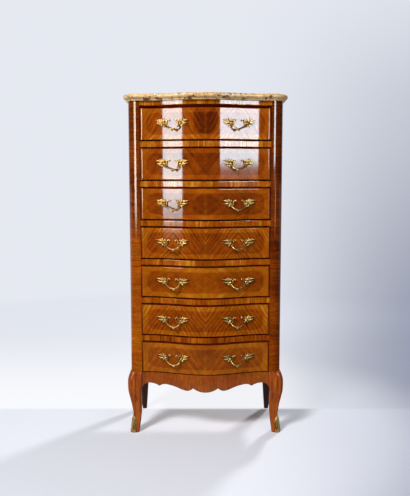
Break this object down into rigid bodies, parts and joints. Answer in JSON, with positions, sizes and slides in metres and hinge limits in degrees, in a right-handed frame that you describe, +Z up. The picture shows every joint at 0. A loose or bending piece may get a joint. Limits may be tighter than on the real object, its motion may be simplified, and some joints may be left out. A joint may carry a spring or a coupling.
{
  "type": "semainier",
  "caption": "Tall narrow bow-front chest of sliding drawers on cabriole legs, with a stone top, cast handles and bronze front feet.",
  "frame": {"origin": "on the floor, under the centre of the bounding box", "axes": "+X to the right seen from the front, the drawers open along -Y, +Z up"},
  "size_m": [0.667, 0.372, 1.4],
  "materials": {
    "rosewood_veneer": "French polished veneer, cross-banded and quartered, high gloss",
    "solid_rosewood": "French polished solid wood",
    "stained_beech": "dark stained and polished",
    "oak": "planed, waxed, unpolished inside wood",
    "breche_marble": "polished stone with moulded edge",
    "gilt_bronze": "aged gilt casting, chased and burnished on the high parts"
  },
  "bodies": {
    "case": {"marble_top": "breche_marble", "top_board": "oak", "bottom_board": "oak", "back_panel": "oak", "right_side_panel": "rosewood_veneer", "left_side_panel": "rosewood_veneer", "right_side_apron": "rosewood_veneer", "left_side_apron": "rosewood_veneer", "right_front_post": "rosewood_veneer", "left_front_post": "rosewood_veneer", "right_rear_post": "stained_beech", "left_rear_post": "stained_beech", "right_front_leg": "solid_rosewood", "left_front_leg": "solid_rosewood", "right_sabot": "gilt_bronze", "left_sabot": "gilt_bronze", "top_rail": "rosewood_veneer", "rail_1": "rosewood_veneer", "rail_2": "rosewood_veneer", "rail_3": "rosewood_veneer", "rail_4": "rosewood_veneer", "rail_5": "rosewood_veneer", "rail_6": "rosewood_veneer", "apron": "rosewood_veneer"},
    "drawer_1": {"drawer_1_front": "rosewood_veneer", "drawer_1_box": "oak", "drawer_1_bottom": "oak", "drawer_1_left_handle": "gilt_bronze", "drawer_1_right_handle": "gilt_bronze"},
    "drawer_2": {"drawer_2_front": "rosewood_veneer", "drawer_2_box": "oak", "drawer_2_bottom": "oak", "drawer_2_left_handle": "gilt_bronze", "drawer_2_right_handle": "gilt_bronze"},
    "drawer_3": {"drawer_3_front": "rosewood_veneer", "drawer_3_box": "oak", "drawer_3_bottom": "oak", "drawer_3_left_handle": "gilt_bronze", "drawer_3_right_handle": "gilt_bronze"},
    "drawer_4": {"drawer_4_front": "rosewood_veneer", "drawer_4_box": "oak", "drawer_4_bottom": "oak", "drawer_4_left_handle": "gilt_bronze", "drawer_4_right_handle": "gilt_bronze"},
    "drawer_5": {"drawer_5_front": "rosewood_veneer", "drawer_5_box": "oak", "drawer_5_bottom": "oak", "drawer_5_left_handle": "gilt_bronze", "drawer_5_right_handle": "gilt_bronze"},
    "drawer_6": {"drawer_6_front": "rosewood_veneer", "drawer_6_box": "oak", "drawer_6_bottom": "oak", "drawer_6_left_handle": "gilt_bronze", "drawer_6_right_handle": "gilt_bronze"},
    "drawer_7": {"drawer_7_front": "rosewood_veneer", "drawer_7_box": "oak", "drawer_7_bottom": "oak", "drawer_7_left_handle": "gilt_bronze", "drawer_7_right_handle": "gilt_bronze"}
  },
  "joints": [
    {"name": "drawer_1_slide", "type": "slide", "parent": "case", "child": "drawer_1", "axis": [0, -1, 0], "range_m": [0, 0.2]},
    {"name": "drawer_2_slide", "type": "slide", "parent": "case", "child": "drawer_2", "axis": [0, -1, 0], "range_m": [0, 0.2]},
    {"name": "drawer_3_slide", "type": "slide", "parent": "case", "child": "drawer_3", "axis": [0, -1, 0], "range_m": [0, 0.2]},
    {"name": "drawer_4_slide", "type": "slide", "parent": "case", "child": "drawer_4", "axis": [0, -1, 0], "range_m": [0, 0.2]},
    {"name": "drawer_5_slide", "type": "slide", "parent": "case", "child": "drawer_5", "axis": [0, -1, 0], "range_m": [0, 0.2]},
    {"name": "drawer_6_slide", "type": "slide", "parent": "case", "child": "drawer_6", "axis": [0, -1, 0], "range_m": [0, 0.2]},
    {"name": "drawer_7_slide", "type": "slide", "parent": "case", "child": "drawer_7", "axis": [0, -1, 0], "range_m": [0, 0.2]}
  ]
}
